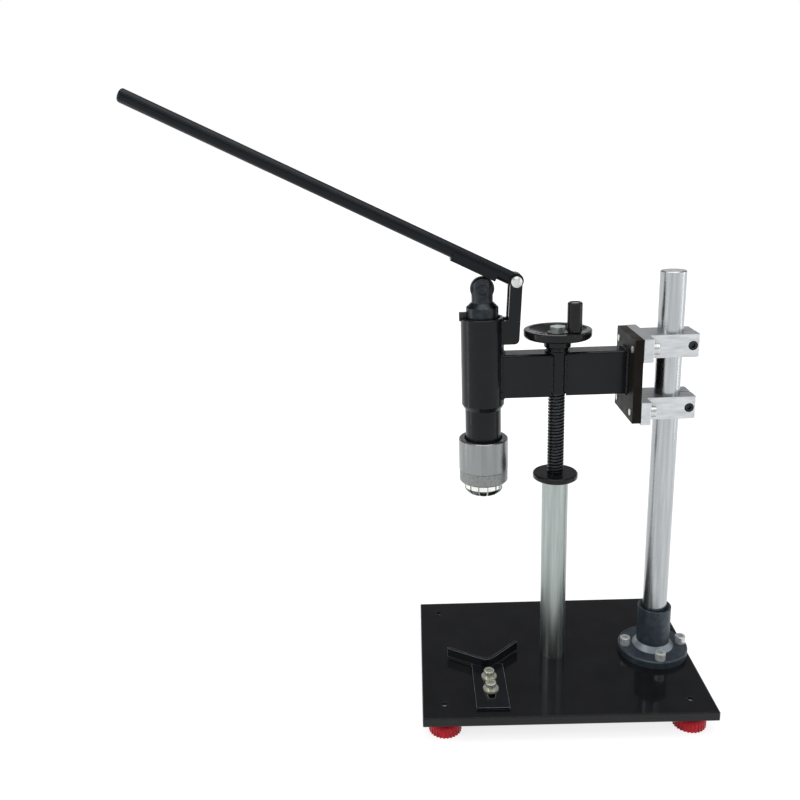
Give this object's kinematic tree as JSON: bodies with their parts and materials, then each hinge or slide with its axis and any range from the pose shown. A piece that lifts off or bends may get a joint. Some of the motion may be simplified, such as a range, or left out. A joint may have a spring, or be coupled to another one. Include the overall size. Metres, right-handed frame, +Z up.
{
  "type": "bottle capper",
  "caption": "Bench crown-capping press: a lever pushes a collet head down over a bottle on a flat base, and a handwheel screw raises the arm.",
  "frame": {"origin": "the bottle's seat: on top of the base plate, on the axis of the capping head", "axes": "+X from the head towards the column, -Y towards the operator's side, +Z up; at rest the lever is up and the arm is at the pictured height"},
  "size_m": [0.6621, 0.26, 0.7553],
  "materials": {
    "black_paint": "satin black paint",
    "ground_steel": "ground and polished shaft",
    "blackened_steel": "oiled black oxide",
    "tube_steel": "drawn steel",
    "black_screw": "greased dark thread",
    "zinc_steel": "bright zinc plate",
    "zinc_yellow": "passivated zinc plate",
    "bell_aluminium": "fine turned",
    "clamp_aluminium": "bright anodised",
    "ring_steel": "fine knurled",
    "hard_chrome": "hard and polished",
    "spring_steel": "oiled spring wire",
    "black_plastic": "moulded, glossy",
    "red_plastic": "moulded, fluted"
  },
  "bodies": {
    "base": {"base_plate": "black_paint", "column": "ground_steel", "column_flange": "blackened_steel", "column_collar": "blackened_steel", "flange_spring_washers": "zinc_steel", "flange_screws": "zinc_steel", "lift_tube": "tube_steel", "lift_tube_plug": "tube_steel", "lift_tube_bolt": "zinc_steel", "lift_nut": "blackened_steel", "stop_washers": "zinc_yellow", "stop_screws": "zinc_yellow", "foot_lock_nuts": "zinc_steel"},
    "stop": {"stop_strap": "black_paint", "stop_blade": "black_paint"},
    "arm": {"head_cylinder": "black_paint", "spring_seat": "tube_steel", "guide_key": "blackened_steel", "lever_post": "black_paint", "pivot_pin": "zinc_steel", "pivot_clip": "zinc_steel", "arm_inner": "black_paint", "arm_outer": "black_paint", "screw_boss": "black_paint", "lower_bush": "blackened_steel", "upper_bush": "blackened_steel", "clamp_plate": "black_paint", "upper_clamp": "clamp_aluminium", "lower_clamp": "clamp_aluminium", "clamp_bolts": "zinc_steel", "clamp_screws": "blackened_steel", "main_spring": "spring_steel"},
    "screw": {"lead_screw": "black_screw", "thrust_washer": "tube_steel", "upper_thrust_washer": "tube_steel", "handwheel": "black_plastic", "wheel_key": "tube_steel", "wheel_washer": "zinc_steel", "wheel_bolt": "zinc_steel", "grip_spindle": "zinc_steel"},
    "grip": {"wheel_grip": "black_plastic"},
    "lever": {"lever_rod": "black_paint", "lever_saddle": "black_paint"},
    "plunger": {"plunger_tube": "black_paint", "plunger_stem": "blackened_steel", "roller_axle": "blackened_steel", "bell": "bell_aluminium", "closing_ring": "ring_steel", "collet_spring": "spring_steel"},
    "roller": {"roller": "blackened_steel"},
    "collet": {"collet": "hard_chrome", "pressure_pad": "tube_steel"},
    "foot_front_left": {"foot_pad_front_left": "red_plastic", "foot_stud_front_left": "zinc_steel"},
    "foot_front_right": {"foot_pad_front_right": "red_plastic", "foot_stud_front_right": "zinc_steel"},
    "foot_back_left": {"foot_pad_back_left": "red_plastic", "foot_stud_back_left": "zinc_steel"},
    "foot_back_right": {"foot_pad_back_right": "red_plastic", "foot_stud_back_right": "zinc_steel"}
  },
  "joints": [
    {"name": "screw_turn", "type": "hinge", "parent": "arm", "child": "screw", "pos_m": [0.0885, 0, 0.416], "axis": [0, 0, 1], "range_deg": [-8101, 5401]},
    {"name": "arm_lift", "type": "slide", "parent": "base", "child": "arm", "axis": [0, 0, 1], "range_m": [-0.09, 0.06]},
    {"name": "grip_spin", "type": "hinge", "parent": "screw", "child": "grip", "pos_m": [0.10375, -0.02348, 0.4378], "axis": [0, 0, 1], "continuous": true},
    {"name": "lever_press", "type": "hinge", "parent": "arm", "child": "lever", "pos_m": [0.0384, 0, 0.4965], "axis": [0, -1, 0], "range_deg": [0, 35]},
    {"name": "plunger_slide", "type": "slide", "parent": "arm", "child": "plunger", "axis": [0, 0, -1], "range_m": [0, 0.0224], "stiffness_N_per_m": 2500, "springref_m": -0.04, "deforming": ["main_spring"]},
    {"name": "roller_spin", "type": "hinge", "parent": "plunger", "child": "roller", "pos_m": [0, 0, 0.48823], "axis": [0, 1, 0], "continuous": true},
    {"name": "collet_slide", "type": "slide", "parent": "plunger", "child": "collet", "axis": [0, 0, 1], "range_m": [0, 0.004], "stiffness_N_per_m": 3000, "springref_m": -0.004, "deforming": ["collet_spring"]},
    {"name": "stop_slide", "type": "slide", "parent": "base", "child": "stop", "axis": [0, 1, 0], "range_m": [-0.008, 0.012]},
    {"name": "foot_front_left_level", "type": "slide", "parent": "base", "child": "foot_front_left", "axis": [0, 0, -1], "range_m": [0, 0.005]},
    {"name": "foot_front_right_level", "type": "slide", "parent": "base", "child": "foot_front_right", "axis": [0, 0, -1], "range_m": [0, 0.005]},
    {"name": "foot_back_left_level", "type": "slide", "parent": "base", "child": "foot_back_left", "axis": [0, 0, -1], "range_m": [0, 0.005]},
    {"name": "foot_back_right_level", "type": "slide", "parent": "base", "child": "foot_back_right", "axis": [0, 0, -1], "range_m": [0, 0.005]}
  ],
  "couplings": [
    {"joint": "screw_turn", "follows": "arm_lift", "rad_per_m": 1570.8},
    {"joint": "plunger_slide", "follows": "lever_press", "m_per_rad": 0.0365}
  ]
}
